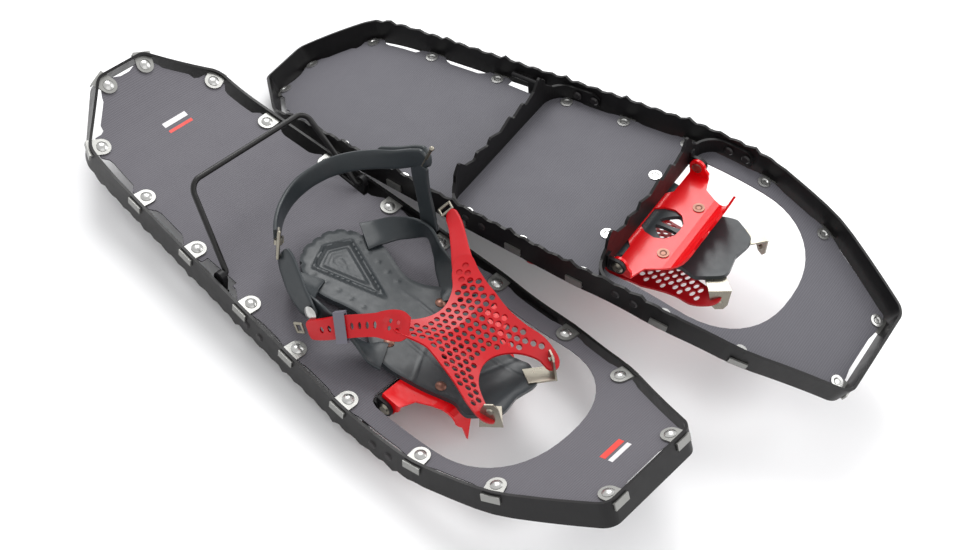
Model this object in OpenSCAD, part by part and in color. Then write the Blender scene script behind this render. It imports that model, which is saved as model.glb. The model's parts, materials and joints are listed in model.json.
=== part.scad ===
// A pair of mountain snowshoes: one lies deck up, the other sole up beside it.
// Each shoe is drawn in its own frame, x from tail to toe, y to the left, z up
// from the flat part of the deck, and is then laid in its place.

/* [Frame] */
// Tail end of the frame, behind the middle of the flat deck
tail_x = -314; // [-336:1:-308]
// Toe end of the frame, in front of the middle of the flat deck
toe_x = 299; // [295:1:326]
// Half width of the frame at its widest, to the middle of the blade
half_w = 99.5; // [98:0.5:116]
// Half width of the frame where the tail corners are
tail_half_w = 74.5; // [72:0.5:82]
// Half length of the short edge at the tail end
tail_end_half = 25; // [21:1:30]
// Half length of the blunt edge at the toe end
toe_end_half = 51; // [48:1:58]
// Rise of the toe end above the flat deck
toe_lift = 68.7; // [50:1:85]
// Rise of the tail end above the flat deck
tail_lift = 24.3; // [15:1:32]
// Thickness of the frame blade
blade_t = 2.5; // [2:0.1:3.2]
// Height of the blade above the deck
blade_up = 4.5; // [4:0.1:7]
// Depth of the blade below the deck, without its teeth
blade_down = 19; // [16:0.5:24]
// Depth of a large tooth
tooth_h = 5; // [3:0.5:6]
// Distance from one large tooth to the next
tooth_pitch = 62; // [50:1:75]

/* [Deck] */
// Thickness of the coated fabric
deck_t = 1.2; // [0.8:0.1:2]
// Gap from the blade to the deck beside a clip
deck_gap = 3; // [2:0.5:4]
// Gap from the blade to the deck between two rear clips
scallop_gap = 9; // [6:0.5:11]
// Rear edge of the binding window
window_x0 = 79; // [78:0.5:80]
// Front edge of the binding window
window_x1 = 219; // [205:1:230]
// Half width of the binding window
window_half = 78; // [77:0.5:80]

/* [Clips] */
// Width of a clip
clip_w = 16; // [14:0.5:17]
// Thickness of a clip
clip_t = 1.5; // [1:0.1:1.8]
// Distance from the blade to the middle of a clip's rivet
clip_reach = 10; // [9.5:0.5:12]
// Radius of a rivet's shank
rivet_r = 2.4; // [2:0.1:3]
// Radius of a rivet's domed head
rivet_head_r = 5; // [4.5:0.1:5.5]

/* [Crossbars] */
// Place of the rear crossbar's blade
rear_bar_x = -71; // [-80:1:-66]
// Place of the front crossbar's blade
front_bar_x = 81.2; // [81:0.1:81.6]
// Depth of the crossbar blade below the deck
bar_down = 20; // [17:0.5:24]
// Depth of the tall end teeth below the deck
spike_down = 37; // [33:0.5:39]
// Step between two middle teeth
step_pitch = 20.5; // [18:0.5:22]
// Length of the arms that run along the frame
arm_l = 50; // [42:1:56]
// Radius of the crossbar's bends
bar_bend_r = 22; // [18:1:26]

/* [Binding] */
// Pivot axis ahead of the middle of the flat deck
pivot_x = 92; // [91.5:0.5:94]
// Pivot axis below the deck surface
pivot_drop = 4; // [3:0.5:5]
// Radius of the hinge pins
pin_r = 3; // [2.5:0.1:3.2]
// Running clearance round a hinge pin
pin_play = 0.06; // [0.04:0.01:0.1]
// Underside of the footbed above the deck
bed_z = 7; // [6.5:0.5:8]
// Thickness of the footbed
bed_t = 4; // [3:0.5:5]
// Thickness of the crampon steel
steel_t = 2; // [1.5:0.1:2]
// Depth of the front claws below the deck
claw_down = 30; // [24:1:32]

/* [Heel lifter] */
// Pivot of the lifter behind the middle of the flat deck
lifter_x = -88; // [-90:1:-86]
// Pivot height above the deck
lifter_z = 4.5; // [4.5:0.5:6]
// Radius of the wire
wire_r = 2.5; // [2:0.1:2.7]
// Length of the lifter's legs
lifter_l = 79; // [70:1:85]

/* [Poses] */
// Angle of the lifter from the deck on the shoe that lies deck up
lifter_a = 41; // [5:1:60]
// Angle of the lifter from the deck on the shoe that lies sole up
lifter_b = 5; // [5:1:20]
// Upward curl of the footbed's toe on the shoe that lies deck up
curl_a = 20; // [0:1:22]
// Upward curl of the footbed's toe on the shoe that lies sole up
curl_b = 0; // [0:1:10]

/* [Hidden] */
$fn = 32;
A_PLACE = [-13, 0, 39];
A_TURN = [0, 2.32, 0];
B_PLACE = [36.4, 199.8, 76.7];
B_TURN = [-175.16, -8.55, 7.6];
ORIGIN_SHIFT = [-4.4, -108.8, 0];
RISE_FROM = 85;
DROP_FROM = -215;
TOE_POWER = 1.83;
SLIT = 0.2;
EPS = 0.01;
RIVET_PLAY = 0.05;
DOME = 2.2;
LUG_T = 3;
EAR_T = 2.5;
EAR_Y = 66;
HINGE_GAP = 0.6;
TONGUE_R = 1.5;

SHOE_NODES = ["frame_rail", "deck", "deck_clips", "deck_rivets", "rear_crossbar", "front_crossbar",
    "crossbar_rivets", "lifter_brackets", "heel_lifter", "hinge_lugs", "hinge_pins", "crampon",
    "crampon_rivets", "footbed", "toe_brackets", "toe_pins", "side_bands", "side_uprights", "forefoot_net",
    "far_strap", "near_strap", "strap_keeper", "side_rivets", "strap_hook", "strap_loop", "heel_strap", "heel_buckle", "buckle_tongue",
    "heel_strap_pin"];

// ---- the deck's rise and the frame's outline ----

// Height of the deck's surface at x: flat, with a lifted toe and tail
function lift(x) =
    x > RISE_FROM ? toe_lift * pow((x - RISE_FROM) / (toe_x - RISE_FROM), TOE_POWER)
    : x < DROP_FROM ? tail_lift * pow((x - DROP_FROM) / (tail_x - DROP_FROM), 2) : 0;
// Angle of the deck's surface at x, from its height either side
function slope(x) = atan2(lift(x + 0.5) - lift(x - 0.5), 1);

// Half of the frame's outline, tail to toe, as corners and their bend radii
HALF = [[tail_x, tail_end_half], [tail_x + 48, tail_half_w], [-53, half_w - 7.5], [68, half_w + 0.5],
    [147, half_w], [214, half_w - 13], [toe_x - 8, toe_end_half]];
HALF_R = [13, 20, 150, 200, 160, 120, 13];
CORNERS = concat(HALF, [for (i = [len(HALF) - 1:-1:0]) [HALF[i][0], -HALF[i][1]]]);
CORNER_R = concat(HALF_R, [for (i = [len(HALF) - 1:-1:0]) HALF_R[i]]);

function unit(v) = v / norm(v);
// Arc that rounds corner b between a and c with radius r
function corner_arc(a, b, c, r) =
    let (u = unit(a - b), v = unit(c - b), half = acos(u * v) / 2, d = r / tan(half),
        o = b + unit(u + v) * r / sin(half), s = b + u * d, turn = 180 - 2 * half,
        side = sign(u[0] * v[1] - u[1] * v[0]), n = max(2, ceil(turn / 8)), w = s - o)
    [for (i = [0:n]) let (q = -side * turn * i / n)
        o + [w[0] * cos(q) - w[1] * sin(q), w[0] * sin(q) + w[1] * cos(q)]];
function round_corners(p, r) = [for (i = [0:len(p) - 1])
    each corner_arc(p[(i + len(p) - 1) % len(p)], p[i], p[(i + 1) % len(p)], r[i])];
// Points added along each straight stretch so that none is longer than step
function fill_in(p, step, closed = true) = [for (i = [0:len(p) - (closed ? 1 : 2)])
    let (a = p[i], b = p[(i + 1) % len(p)], n = max(1, ceil(norm(b - a) / step)))
    each [for (k = [0:n - 1]) a + (b - a) * k / n]];
function next(p, i, closed) = closed ? p[(i + 1) % len(p)] : p[min(i + 1, len(p) - 1)];
function last(p, i, closed) = closed ? p[(i + len(p) - 1) % len(p)] : p[max(i - 1, 0)];
// Sideways direction at point i of a path, to the left of the way it runs
function side_of(p, i, closed = true) =
    let (t = unit(next(p, i, closed) - last(p, i, closed))) [-t[1], t[0]];

RAIL = fill_in(round_corners(CORNERS, CORNER_R), 5);

// ---- blades: strips that stand on edge and follow the deck's rise ----

// Point of a blade: e to its side and h above the deck's surface
function blade_point(q, n, e, h) =
    let (a = slope(q[0])) [q[0] + n[0] * e * cos(a) - h * sin(a), q[1] + n[1] * e,
        lift(q[0]) + n[0] * e * sin(a) + h * cos(a)];
module blade(path, top, low, t, closed) {
    n = len(path);
    points = [for (i = [0:n - 1]) let (s = side_of(path, i, closed)) each [
        blade_point(path[i], s, t / 2, low[i]), blade_point(path[i], s, t / 2, top[i]),
        blade_point(path[i], s, -t / 2, top[i]), blade_point(path[i], s, -t / 2, low[i])]];
    walls = [for (i = [0:n - (closed ? 1 : 2)], k = [0:3])
        let (a = 4 * i, b = 4 * ((i + 1) % n), m = (k + 1) % 4)
        each [[a + k, a + m, b + m], [a + k, b + m, b + k]]];
    ends = closed ? [] : [[3, 2, 1], [3, 1, 0],
        [4 * n - 4, 4 * n - 3, 4 * n - 2], [4 * n - 4, 4 * n - 2, 4 * n - 1]];
    polyhedron(points, concat(walls, ends), convexity = 10);
}

// Depth of the frame's teeth at x: one large tooth and three ripples in each pitch
function tooth(x) =
    let (u = ((x - tail_x) % tooth_pitch) / tooth_pitch,
        fade = min(1, max(0, min((x + 268) / 15, (165 - x) / 30))))
    fade * (u < 0.2 ? tooth_h * (1 - abs(u - 0.1) / 0.1) : 1.2 + 1.2 * cos(360 * (u - 0.2) * 3.75 + 180));

// ---- places of the clips ----

SIDE_CLIP_X = [-197, -126, -53.5, 5, 68, 147, 213.5];
CLIP_COUNT = len(SIDE_CLIP_X) + 3;
// Point on the left half of the outline where clip k is, and the way it faces
function clip_spot(k) =
    k < 2 ? corner_spot([HALF[0][0], -HALF[0][1]], k)
    : k == CLIP_COUNT - 1 ? [[toe_x - 8, toe_end_half - 12.5], [1, 0]]
    : let (x = SIDE_CLIP_X[k - 2]) [[x, rail_y(x)], rail_n(x)];
// Middle of the bend at corner k, and the way it faces
function corner_spot(start, k) =
    let (b = HALF[k], a = k == 0 ? start : HALF[k - 1], u = unit(a - b), v = unit(HALF[k + 1] - b), w = unit(u + v))
    [b + w * HALF_R[k] * (1 / sin(acos(u * v) / 2) - 1), -w];
function rail_y(x) =
    let (near = [for (i = [0:len(RAIL) - 1]) if (RAIL[i][1] > 0 && abs(RAIL[i][0] - x) < 9) RAIL[i]],
        a = [for (q = near) if (q[0] <= x) q], b = [for (q = near) if (q[0] > x) q],
        p = a[len(a) - 1], r = b[0])
    p[1] + (r[1] - p[1]) * (x - p[0]) / (r[0] - p[0]);
function rail_n(x) = let (d = rail_y(x + 2) - rail_y(x - 2)) unit([-d, 4]);
// Lays its children on the deck at clip k of one side: x runs out to the blade
module at_clip(k, side) {
    spot = clip_spot(k);
    p = spot[0] - [spot[1][0] * cos(slope(spot[0][0])), spot[1][1]] * clip_reach;
    translate([p[0], side * p[1], lift(p[0])])
    rotate([0, -slope(p[0]), 0])
    rotate([0, 0, side * atan2(spot[1][1], spot[1][0])])
    children();
}
module each_clip() for (side = [1, -1], k = [0:CLIP_COUNT - 1]) at_clip(k, side) children();

// ---- frame and deck ----

CLIP_LIFT = 0.35;
module frame_rail() color([0.10, 0.09, 0.09]) difference() {
    blade(RAIL, [for (q = RAIL) blade_up], [for (q = RAIL) -blade_down - tooth(q[0])], blade_t, true);
    each_clip() translate([clip_reach - 7, -clip_w / 2 - SLIT, CLIP_LIFT - SLIT])
        cube([16, clip_w + 2 * SLIT, clip_t + 2 * SLIT]);
    each_arm_rivet() cylinder(h = 30, r = rivet_r + RIVET_PLAY, center = true, $fn = 16);
}

// Gap between deck and blade: narrow at each clip, wide between the rear ones
CLIP_SPOTS = [for (k = [0:CLIP_COUNT - 1]) clip_spot(k)[0]];
function gap_at(q) =
    let (d = min([for (c = CLIP_SPOTS) norm([q[0], abs(q[1])] - c)]),
        wide = q[0] < rear_bar_x + 8 ? scallop_gap : deck_gap + 1.5,
        ends = q[0] < tail_x + 30 ? deck_gap + 3 : wide)
    blade_t / 2 + deck_gap + (ends - deck_gap) * min(1, max(0, (d - clip_w * 0.75) / 6));
DECK_EDGE = [for (i = [0:len(RAIL) - 1]) RAIL[i] + side_of(RAIL, i) * -gap_at(RAIL[i])];
WINDOW_N = 2.3;
WINDOW_MID = window_x0 + 71;
function power(v, n) = sign(v) * pow(abs(v), n);
WINDOW = concat([[window_x0, window_half - 8], [window_x0 + 3, window_half - 2], [window_x0 + 9, window_half]],
    [for (i = [0:24]) let (q = 90 - 7.5 * i) [WINDOW_MID + (window_x1 - WINDOW_MID) * power(cos(q), 2 / WINDOW_N),
        window_half * power(sin(q), 2 / WINDOW_N)]],
    [[window_x0 + 9, -window_half], [window_x0 + 3, 2 - window_half], [window_x0, 8 - window_half]]);
RISE_X = concat([for (i = [0:8]) tail_x + (DROP_FROM - tail_x) * i / 8],
    [for (i = [0:16]) RISE_FROM + (toe_x - RISE_FROM) * i / 16]);
module deck() color([0.46, 0.44, 0.46]) difference() {
    intersection() {
        translate([0, 0, -60]) linear_extrude(200) polygon(DECK_EDGE);
        rotate([90, 0, 0]) linear_extrude(300, center = true)
            polygon(concat([for (x = RISE_X) [x, lift(x)]],
                [for (i = [len(RISE_X) - 1:-1:0]) [RISE_X[i], lift(RISE_X[i]) - deck_t]]));
    }
    translate([0, 0, -20]) linear_extrude(120) polygon(WINDOW);
    each_clip() cylinder(h = 12, r = rivet_r + RIVET_PLAY, center = true, $fn = 24);
    each_deck_rivet() cylinder(h = 12, r = rivet_r + RIVET_PLAY, center = true, $fn = 24);
    for (side = [1, -1]) translate([lifter_x - 25, side * (rail_y(lifter_x) - 4) - 10, -10]) cube([36, 20, 20]);
}
module each_deck_rivet() for (side = [1, -1]) translate([window_x0 - 15, side * 41, 0]) children();

module deck_clips() color([0.75, 0.74, 0.72]) each_clip() difference() {
    translate([0, 0, CLIP_LIFT]) union() {
        cylinder(h = clip_t, r = clip_w / 2);
        translate([0, -clip_w / 2, 0]) cube([clip_reach + blade_t / 2 + SLIT + clip_t, clip_w, clip_t]);
        translate([clip_reach + blade_t / 2 + SLIT, -clip_w / 2, -5.5]) cube([clip_t, clip_w, 5.5 + clip_t]);
    }
    cylinder(h = 12, r = rivet_r + RIVET_PLAY, center = true, $fn = 24);
}

// A domed head on a shank of length l, with a flared washer at the far end
module rivet(l, r, head_r) {
    translate([0, 0, -l]) cylinder(h = l, r = r, $fn = 24);
    intersection() {
        translate([0, 0, DOME - head_r * 1.6]) sphere(r = head_r * 1.6);
        cylinder(h = DOME, r = head_r);
    }
    translate([0, 0, -l - 0.9]) difference() {
        cylinder(h = 0.9, r = head_r * 1.15);
        translate([0, 0, -EPS]) cylinder(h = 0.5, r1 = head_r * 0.7, r2 = head_r * 0.45, $fn = 24);
    }
}
module deck_rivets() color([0.80, 0.79, 0.77]) {
    each_clip() translate([0, 0, CLIP_LIFT + clip_t]) rivet(CLIP_LIFT + clip_t + deck_t + 0.1, rivet_r, rivet_head_r);
    each_deck_rivet() rivet(deck_t, rivet_r, rivet_head_r);
}

// ---- toothed crossbars ----

// Corners of one crossbar: a straight middle, two bends and an arm along each rail
function bar_path(x) =
    let (y = rail_y(x + 30) - blade_t - 0.15, y2 = rail_y(x + arm_l) - blade_t - 0.15, y1 = rail_y(x) - blade_t - 0.15)
    fill_in(concat([[x + arm_l, -y2]], corner_arc([x + arm_l, -y2], [x, -y1], [x, y1], bar_bend_r),
        corner_arc([x, -y1], [x, y1], [x + arm_l, y2], bar_bend_r), [[x + arm_l, y2]]), 2.5, false);
// Depth of the bar's edge: stair teeth in the middle, a tall spike near each end
function bar_depth(q, x) =
    let (y = abs(q[1]), step = (y % step_pitch) / step_pitch)
    q[0] > x + bar_bend_r ? bar_down - 4 - 6 * max(0, (q[0] - x - arm_l + 9) / 9)
    : y > 72 ? bar_down - 4 + (spike_down - bar_down - 6) * max(0, (80 - y) / 8) * 0.6
    : y > 56 ? spike_down - abs(y - 64) * 1.1
    : bar_down + 1.5 + 6 * (step < 0.8 ? step / 0.8 : (1 - step) / 0.2);
BAR_T = 2.5;
module crossbar(x) color([0.11, 0.10, 0.10]) {
    path = bar_path(x);
    difference() {
        blade(path, [for (q = path) -deck_t - 0.1], [for (q = path) -bar_depth(q, x)], BAR_T, false);
        each_arm_rivet() cylinder(h = 30, r = rivet_r + RIVET_PLAY, center = true, $fn = 16);
    }
}
module rear_crossbar() crossbar(rear_bar_x);
module front_crossbar() crossbar(front_bar_x);
// Lays its children across blade and arm at each rivet, z pointing in
module each_arm_rivet() for (bar = [rear_bar_x, front_bar_x], dx = [arm_l - 24, arm_l - 7], side = [1, -1]) {
    x = bar + dx;
    n = rail_n(x);
    translate([x, side * rail_y(x), lift(x) - 9]) rotate([0, 0, side * (atan2(n[1], n[0]) - 90)])
        rotate([side * 90, 0, 0]) children();
}
module crossbar_rivets() color([0.16, 0.15, 0.15]) each_arm_rivet() {
    translate([0, 0, -blade_t / 2]) cylinder(h = blade_t * 1.5 + BAR_T, r = rivet_r, $fn = 16);
    translate([0, 0, blade_t + BAR_T + 0.1]) cylinder(h = 1.4, r1 = 4.4, r2 = 3, $fn = 24);
    translate([0, 0, -blade_t / 2 - 1.2]) cylinder(h = 1.1, r1 = 2.8, r2 = 4, $fn = 24);
}

// ---- heel lifter ----

BRACKET_W = 5;
function bracket_y() = rail_y(lifter_x - 24) - blade_t / 2 - 0.5 - BRACKET_W;
module lifter_brackets() color([0.09, 0.09, 0.09]) for (side = [1, -1]) difference() {
    union() {
        translate([lifter_x, side * (bracket_y() + BRACKET_W / 2), lifter_z]) rotate([90, 0, 0])
            cylinder(h = BRACKET_W, r = wire_r + 3, center = true);
        translate([lifter_x - 6, side * (bracket_y() + BRACKET_W / 2) - BRACKET_W / 2, -9])
            cube([12, BRACKET_W, 9 + lifter_z]);
        translate([lifter_x - 24, side * (bracket_y() + BRACKET_W / 2), -9]) rotate([0, 90, 0])
            cylinder(h = 32, r = BRACKET_W / 2);
    }
    translate([lifter_x, side * bracket_y(), lifter_z]) rotate([90, 0, 0])
        cylinder(h = 40, r = wire_r + pin_play, center = true);
}
// A rod from a to b with a ball at b
module rod(a, b, r = wire_r) {
    v = b - a;
    translate(a) rotate([0, acos(v[2] / norm(v)), atan2(v[1], v[0])]) cylinder(h = norm(v), r = r, $fn = 24);
    translate(b) sphere(r = r, $fn = 24);
}
// Wire of radius r along the points of p in the xy plane
module bent_wire(p, r) {
    n = len(p);
    m = 20;
    points = [for (i = [0:n - 1], k = [0:m - 1]) let (s = side_of(p, i, false), q = 360 * k / m)
        [p[i][0] + s[0] * r * cos(q), p[i][1] + s[1] * r * cos(q), r * sin(q)]];
    walls = [for (i = [0:n - 2], k = [0:m - 1]) let (a = m * i + k, b = m * i + (k + 1) % m)
        each [[a, a + m, b + m], [a, b + m, b]]];
    polyhedron(points, concat([[for (k = [0:m - 1]) k]], walls, [[for (k = [m - 1:-1:0]) m * (n - 1) + k]]), convexity = 6);
}
// Corners of the wire in its own plane: the feet in the brackets, two legs, one cross run
LEG_Y = 76.8;
FOOT_Y = bracket_y() + BRACKET_W - 1;
LIFTER_PATH = concat([[0, FOOT_Y]], corner_arc([0, FOOT_Y], [0, LEG_Y], [-lifter_l, 65], 3),
    corner_arc([0, LEG_Y], [-lifter_l, 65], [-lifter_l, -65], 12), corner_arc([-lifter_l, 65], [-lifter_l, -65], [0, -LEG_Y], 12),
    corner_arc([-lifter_l, -65], [0, -LEG_Y], [0, -FOOT_Y], 3), [[0, -FOOT_Y]]);
module heel_lifter(angle) color([0.12, 0.11, 0.11])
    translate([lifter_x, 0, lifter_z]) rotate([0, angle, 0]) bent_wire(LIFTER_PATH, wire_r);

// ---- hinge between crossbar and crampon ----

LUG_Y = EAR_Y + EAR_T + HINGE_GAP;
module across(y, h) translate([pivot_x, y, -pivot_drop]) rotate([-90, 0, 0]) cylinder(h = h, r = 7);
BAR_FACE = front_bar_x + BAR_T / 2;
module hinge_lugs() color([0.08, 0.08, 0.08]) for (side = [1, -1]) mirror([0, side < 0 ? 1 : 0, 0]) difference() {
    union() {
        across(LUG_Y, LUG_T);
        translate([BAR_FACE + 0.05, LUG_Y, -pivot_drop - 7]) cube([pivot_x - BAR_FACE, LUG_T, 14]);
        translate([BAR_FACE + 0.05, LUG_Y - 1, -pivot_drop - 12]) cube([2, LUG_T + 3, 14.5]);
    }
    translate([pivot_x, 0, -pivot_drop]) rotate([-90, 0, 0]) cylinder(h = 100, r = pin_r);
    translate([pivot_x + 7.5, LUG_Y - 1, 2.7]) rotate([0, -45, 0]) cube([3, 10, 12]);
}
module hinge_pins() color([0.62, 0.60, 0.57]) for (side = [1, -1]) mirror([0, side < 0 ? 1 : 0, 0])
    translate([pivot_x, 0, -pivot_drop]) rotate([-90, 0, 0]) {
        translate([0, 0, EAR_Y - 1.9]) cylinder(h = 1.5, r = 4.6);
        translate([0, 0, EAR_Y - 1]) cylinder(h = EAR_T + HINGE_GAP + LUG_T + 1, r = pin_r);
        translate([0, 0, LUG_Y + LUG_T]) cylinder(h = 1.6, r1 = 5.4, r2 = 3.6);
    }

// ---- crampon ----

EAR_R = 7.5;
PLATE_X0 = BAR_FACE - 5;
PLATE_TOP = bed_z - 0.05;
FLANGE_X = [[PLATE_X0, 0], [120, 0], [127, 1.2], [132, 4], [136, 8], [139, 13], [142, 20], [148, claw_down + bed_z]];
module crampon_profile() rotate([90, 0, 0]) linear_extrude(200, center = true) polygon(concat(
    [for (q = FLANGE_X) [q[0], PLATE_TOP - q[1]]],
    [for (i = [len(FLANGE_X) - 1:-1:0]) let (q = FLANGE_X[i],
        a = i == 0 ? 0 : atan2(q[1] - FLANGE_X[i - 1][1], q[0] - FLANGE_X[i - 1][0]))
        [q[0] - steel_t * sin(a), PLATE_TOP - q[1] - steel_t * cos(a)]]));
CRAMPON_HALF = [[PLATE_X0, 0], [PLATE_X0, 30], [BAR_FACE + 2.4, 38], [BAR_FACE + 2.4, EAR_Y + EAR_T],
    [pivot_x + 11, EAR_Y + EAR_T], [pivot_x + 13, 62], [pivot_x + 16, 54], [118, 48], [127, 43], [138, 37], [150, 34]];
CLAWS = [[-38, 20], [38, 20], [38, -9], [31, -16], [28, -claw_down], [21, -12], [14, -5], [8, -15], [4, -5],
    [-4, -5], [-8, -15], [-14, -5], [-21, -12], [-28, -claw_down], [-31, -16], [-38, -9]];
SHIELD = [[80, 12], [87, 17], [97, 19], [105, 16], [111, 8], [112, 0], [111, -8], [105, -16], [97, -19], [87, -17], [80, -12]];
module crampon() color([0.85, 0.03, 0.06]) difference() {
    union() {
        intersection() {
            crampon_profile();
            translate([0, 0, -80]) linear_extrude(120) polygon(concat(CRAMPON_HALF,
                [for (i = [len(CRAMPON_HALF) - 1:-1:0]) [CRAMPON_HALF[i][0], -CRAMPON_HALF[i][1]]]));
            union() {
                translate([0, -100, -80]) cube([137, 200, 120]);
                translate([136.9, 0, 0]) rotate([90, 0, 90]) linear_extrude(30) polygon(CLAWS);
            }
        }
        for (side = [1, -1]) mirror([0, side < 0 ? 1 : 0, 0]) {
            translate([pivot_x, EAR_Y, -pivot_drop]) rotate([-90, 0, 0]) cylinder(h = EAR_T, r = EAR_R);
            translate([0, EAR_Y + EAR_T, 0]) rotate([90, 0, 0]) linear_extrude(EAR_T)
                polygon([[pivot_x - EAR_R, -pivot_drop], [BAR_FACE + 2.4, PLATE_TOP], [pivot_x + 11, PLATE_TOP],
                    [pivot_x + 11, 0], [pivot_x + EAR_R, -pivot_drop]]);
        }
    }
    translate([pivot_x, 0, -pivot_drop]) rotate([90, 0, 0]) cylinder(h = 200, r = pin_r + pin_play, center = true);
    translate([0, 0, -20]) linear_extrude(60) polygon(SHIELD);
    each_bed_rivet([113]) cylinder(h = 40, r = rivet_r + RIVET_PLAY, center = true, $fn = 24);
}
BED_RIVET_X = [55, 113];
module each_bed_rivet(xs) for (x = xs, side = [1, -1]) translate([x, side * 31, bed_z + bed_t]) children();
module crampon_rivets() color([0.55, 0.42, 0.36]) {
    each_bed_rivet([113]) rivet(bed_t + steel_t + 0.1, rivet_r, 4.6);
    each_bed_rivet([55]) rivet(bed_t, rivet_r, 4.6);
}

// ---- footbed with its side arms ----

BED_HALF = [[-63, 0], [-63, 14], [-58, 22], [-48, 30], [-36, 36], [-20, 38], [2, 33], [18, 30], [32, 33], [46, 40],
    [62, 46], [80, 48], [98, 45], [114, 42], [124, 36], [132, 33], [138, 36]];
TOE_HALF = [[138, 36], [147, 38], [152.5, 35], [167, 25.5], [168.5, 18], [167, 8], [165, 0]];
function both_sides(h) = concat(h, [for (i = [len(h) - 1:-1:0]) [h[i][0], -h[i][1]]]);
CURL_X = 134;
// Height that the curled toe of the footbed gains at x
function curl_rise(x, a) = x < CURL_X ? 0 : (x - CURL_X) * tan(a) * min(1, (x - CURL_X) / 24);
CURL_STEPS = [-70, CURL_X, 140, 146, 152, 158, 166, 176, 184];
module bed_profile(a) rotate([90, 0, 0]) linear_extrude(120, center = true) polygon(concat(
    [for (x = CURL_STEPS) [x, bed_z + bed_t + curl_rise(x, a)]],
    [for (i = [len(CURL_STEPS) - 1:-1:0]) [CURL_STEPS[i], bed_z + curl_rise(CURL_STEPS[i], a)]]));
HEEL_RING = [[-52, 0], [-49, 14], [-40, 24], [-28, 25], [16, 8], [20, 0]];
module footbed(a) color([0.27, 0.30, 0.31]) {
    difference() {
        union() {
            intersection() {
                bed_profile(a);
                translate([0, 0, -10]) linear_extrude(90) union() {
                    polygon(both_sides(BED_HALF));
                    polygon(both_sides(TOE_HALF));
                }
            }
            translate([0, 0, bed_z + bed_t - EPS]) linear_extrude(1.6) polygon(both_sides(HEEL_RING));
        }
        each_bed_rivet(BED_RIVET_X) cylinder(h = 40, r = rivet_r + RIVET_PLAY, center = true, $fn = 24);
        for (side = [1, -1]) translate([93, 0, bed_z - 5]) linear_extrude(20)
            polygon([[-7, side * 1], [8, side * 15], [14, side * 8], [18, side * 1]]);
    }
}

// ---- straps ----

// A strap is a row of [middle, wide], where wide is half its width as a vector
function spread(rows, n) = [for (i = [0:len(rows) - 2])
    let (p0 = rows[max(i - 1, 0)], p1 = rows[i], p2 = rows[i + 1], p3 = rows[min(i + 2, len(rows) - 1)])
    each [for (j = [0:n - 1]) let (t = j / n) [for (c = [0, 1]) 0.5 * (2 * p1[c] + (p2[c] - p0[c]) * t
        + (2 * p0[c] - 5 * p1[c] + 4 * p2[c] - p3[c]) * t * t + (3 * p1[c] - p0[c] - 3 * p2[c] + p3[c]) * t * t * t)]]];
STRAP_T = 3;
module strap(rows, t = STRAP_T, n = 3) {
    s = concat(spread(rows, n), [rows[len(rows) - 1]]);
    m = len(s);
    function nrm(i) = unit(cross(unit(s[min(i + 1, m - 1)][0] - s[max(i - 1, 0)][0]), unit(s[i][1]))) * t / 2;
    points = [for (i = [0:m - 1]) let (p = s[i][0], w = s[i][1], q = nrm(i)) each [p - w - q, p + w - q, p + w + q, p - w + q]];
    walls = [for (i = [0:m - 2], k = [0:3]) let (a = 4 * i + k, b = 4 * i + (k + 1) % 4)
        each [[a, b, b + 4], [a, b + 4, a + 4]]];
    polyhedron(points, concat([[3, 2, 1], [3, 1, 0]], walls,
        [[4 * m - 4, 4 * m - 3, 4 * m - 2], [4 * m - 4, 4 * m - 2, 4 * m - 1]]), convexity = 6);
}
// The height of what stands above the side rivets, pressed down by k
SIDE_RIVET = [4, 66, 34];
function press(p, k) = [p[0], p[1], p[2] > SIDE_RIVET[2] ? SIDE_RIVET[2] + (p[2] - SIDE_RIVET[2]) * k : p[2]];
function flip(p, side) = [p[0], side * p[1], p[2]];
module each_side_rivet() for (side = [1, -1]) translate([SIDE_RIVET[0], side * SIDE_RIVET[1], SIDE_RIVET[2]])
    rotate([-side * 80, 0, 0]) children();
// Band from the heel plate out and up to the side rivet, then down to the forefoot
function side_band_rows(side) = [[flip([-36, 36, 12.9], side), flip([14, -4, 0], side)], [flip([-30, 45, 15.5], side), flip([12, -5, -1], side)],
    [flip([-18, 56, 23], side), flip([7, -4, -6], side)], [flip([4, 64.4, 33], side), flip([0, 1, -8], side)],
    [flip([23, 60, 25.5], side), flip([-1, -1, -7], side)], [flip([38, 55, 18.5], side), flip([-6, -5, -6], side)],
    [flip([52, 51, 14], side), flip([-11, -6, -2], side)], [flip([62, 47, 12.9], side), flip([-13, -7, 0], side)]];
module side_bands() color([0.27, 0.30, 0.31]) for (side = [1, -1]) strap(side_band_rows(side));
// Arm from the side rivet to the heel strap: the far one stands up, the near one leans back to the buckle
function far_upright_rows(k) = [[press([8, 69, 31], k), [8, 0, 4]], [press([-3, 70.5, 50], k), [8, 0, 3]],
    [press([-14, 71.5, 66], k), [7.5, 0, 3 * k]], [press([-21, 72, 84], k), [8, 0, 3.5 * k]]];
function near_upright_rows(k) = [[press([7, -69.2, 30], k), [5, 0, 5]], [press([-6, -68.5, 34], k), [2, 2, 8]],
    [press([-24, -62.5, 37], k), [0, 4, 8.5 * k]], [press([-42, -54.5, 41], k), [0, 4, 8.5 * k]], [press([-51.3, -50.7, 42.8], k), [-1, 2, 8 * k]]];
module side_uprights(k) color([0.27, 0.30, 0.31]) {
    strap(far_upright_rows(k));
    strap(near_upright_rows(k));
}
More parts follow.
